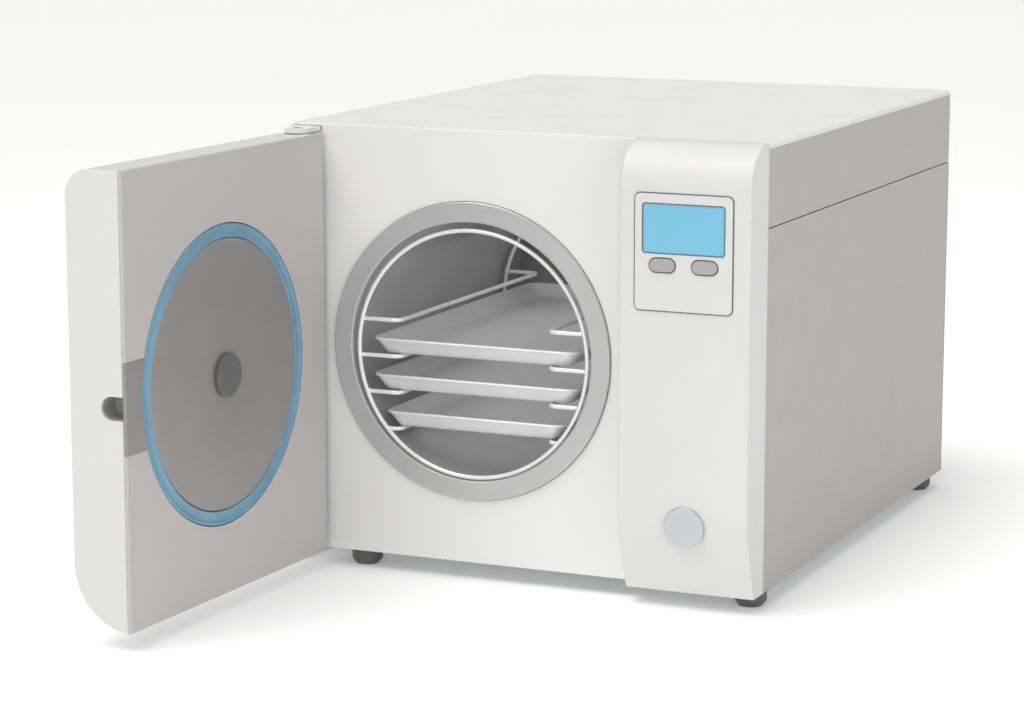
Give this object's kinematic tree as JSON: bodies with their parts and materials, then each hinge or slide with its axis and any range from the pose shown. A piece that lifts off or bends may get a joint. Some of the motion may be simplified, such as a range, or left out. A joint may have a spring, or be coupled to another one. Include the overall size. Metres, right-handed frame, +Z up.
{
  "type": "benchtop autoclave",
  "caption": "Benchtop steam steriliser with an open side-hinged door, round pressure chamber, wire rack with trays, and a control column with a display.",
  "frame": {"origin": "on the bench, under the middle of the housing (door and rear fittings left out)", "axes": "+X to the user's right, +Y to the back, +Z up; the door opens towards -Y"},
  "size_m": [0.5079, 0.9631, 0.428],
  "materials": {
    "white_panel": "satin moulded, fine texture",
    "white_plastic": "satin moulded",
    "grey_paint": "satin, fine orange peel",
    "liner_paint": "satin",
    "galvanised": "zinc coated",
    "ring_steel": "turned, satin",
    "vessel_steel": "brushed, shaded interior",
    "plate_steel": "brushed",
    "dark_fitting": "dark grey",
    "seal_blue": "silicone, blue",
    "foot_rubber": "matt",
    "wire_steel": "electropolished wire",
    "tray_aluminium": "anodised",
    "display_blue": "lit light blue display",
    "button_grey": "satin",
    "badge_metal": "satin, blank",
    "circuit_board": "solder mask",
    "bolt_steel": "ground",
    "cast_aluminium": "as cast",
    "black_plastic": "fine spark texture",
    "insulation": "ceramic fibre wrap",
    "heater_metal": "mica band, steel clad",
    "brass_fitting": "machined",
    "tank_plastic": "translucent natural",
    "cap_blue": "moulded",
    "pot_steel": "brushed",
    "pump_casting": "painted casting, satin",
    "copper_tube": "drawn tube",
    "filter_plastic": "moulded",
    "hose_rubber": "silicone hose"
  },
  "bodies": {
    "housing": {"base_tray": "galvanised", "feet": "foot_rubber", "front_frame": "galvanised", "front_fascia": "white_panel", "side_panel_left": "grey_paint", "side_panel_right": "grey_paint", "rear_panel": "grey_paint", "column_shell": "white_plastic", "panel_plate": "white_plastic", "display_window": "display_blue", "display_board": "circuit_board", "badge": "badge_metal", "chamber_ring": "ring_steel", "chamber_vessel": "vessel_steel", "heater_band": "heater_metal", "insulation_jacket": "insulation", "chamber_saddles": "galvanised", "inner_frame": "galvanised", "hinge_brackets": "galvanised", "lock_solenoid": "black_plastic", "fan_frame": "black_plastic", "mains_inlet": "black_plastic", "switch_frame": "black_plastic", "water_ports": "brass_fitting", "safety_valve": "brass_fitting", "clean_water_tank": "tank_plastic", "waste_water_tank": "tank_plastic", "tank_caps": "cap_blue", "steam_generator": "pot_steel", "vacuum_pump": "pump_casting", "water_pump": "pump_casting", "solenoid_valves": "black_plastic", "condenser_coil": "copper_tube", "control_board": "circuit_board", "power_supply": "cast_aluminium", "air_filter": "filter_plastic", "steam_pipe": "copper_tube", "rubber_hoses": "hose_rubber", "rear_screws": "bolt_steel"},
    "door": {"door_shell": "white_plastic", "door_liner": "liner_paint", "door_frame": "cast_aluminium", "door_hinge_pins": "bolt_steel", "pressure_plate": "plate_steel", "door_seal": "seal_blue", "plate_hub": "dark_fitting", "lock_strap": "plate_steel", "lock_keeper": "dark_fitting"},
    "hood": {"hood_skirt": "grey_paint", "top_panel": "white_panel"},
    "lock_bolt": {"lock_bolt": "bolt_steel"},
    "rack": {"rack_hoops": "wire_steel", "rack_rails": "wire_steel"},
    "tray_upper": {"tray_upper": "tray_aluminium"},
    "tray_middle": {"tray_middle": "tray_aluminium"},
    "tray_lower": {"tray_lower": "tray_aluminium"},
    "button_left": {"button_left": "button_grey"},
    "button_right": {"button_right": "button_grey"},
    "power_rocker": {"power_rocker": "black_plastic"},
    "fan_rotor": {"fan_rotor": "black_plastic"}
  },
  "joints": [
    {"name": "door_hinge", "type": "hinge", "parent": "housing", "child": "door", "pos_m": [-0.219, -0.3145, 0.2185], "axis": [0, 0, -1], "range_deg": [-92, 13]},
    {"name": "lock_bolt_slide", "type": "slide", "parent": "housing", "child": "lock_bolt", "axis": [-1, 0, 0], "range_m": [0, 0.02], "stiffness_N_per_m": 120},
    {"name": "rack_slide", "type": "slide", "parent": "housing", "child": "rack", "axis": [0, -1, 0], "range_m": [0, 0.25]},
    {"name": "tray_upper_slide", "type": "slide", "parent": "rack", "child": "tray_upper", "axis": [0, -1, 0], "range_m": [0, 0.3]},
    {"name": "tray_middle_slide", "type": "slide", "parent": "rack", "child": "tray_middle", "axis": [0, -1, 0], "range_m": [0, 0.3]},
    {"name": "tray_lower_slide", "type": "slide", "parent": "rack", "child": "tray_lower", "axis": [0, -1, 0], "range_m": [0, 0.3]},
    {"name": "button_left_press", "type": "slide", "parent": "housing", "child": "button_left", "axis": [0, 1, 0], "range_m": [0, 0.0012], "stiffness_N_per_m": 400},
    {"name": "button_right_press", "type": "slide", "parent": "housing", "child": "button_right", "axis": [0, 1, 0], "range_m": [0, 0.0012], "stiffness_N_per_m": 400},
    {"name": "hood_lift", "type": "slide", "parent": "housing", "child": "hood", "axis": [0, 0, 1], "range_m": [0, 0.12]},
    {"name": "rocker_tilt", "type": "hinge", "parent": "housing", "child": "power_rocker", "pos_m": [0.125, 0.2861, 0.07], "axis": [0, 0, 1], "range_deg": [0, 13]},
    {"name": "fan_spin", "type": "hinge", "parent": "housing", "child": "fan_rotor", "pos_m": [-0.13, 0.275, 0.2], "axis": [0, 1, 0], "continuous": true}
  ]
}
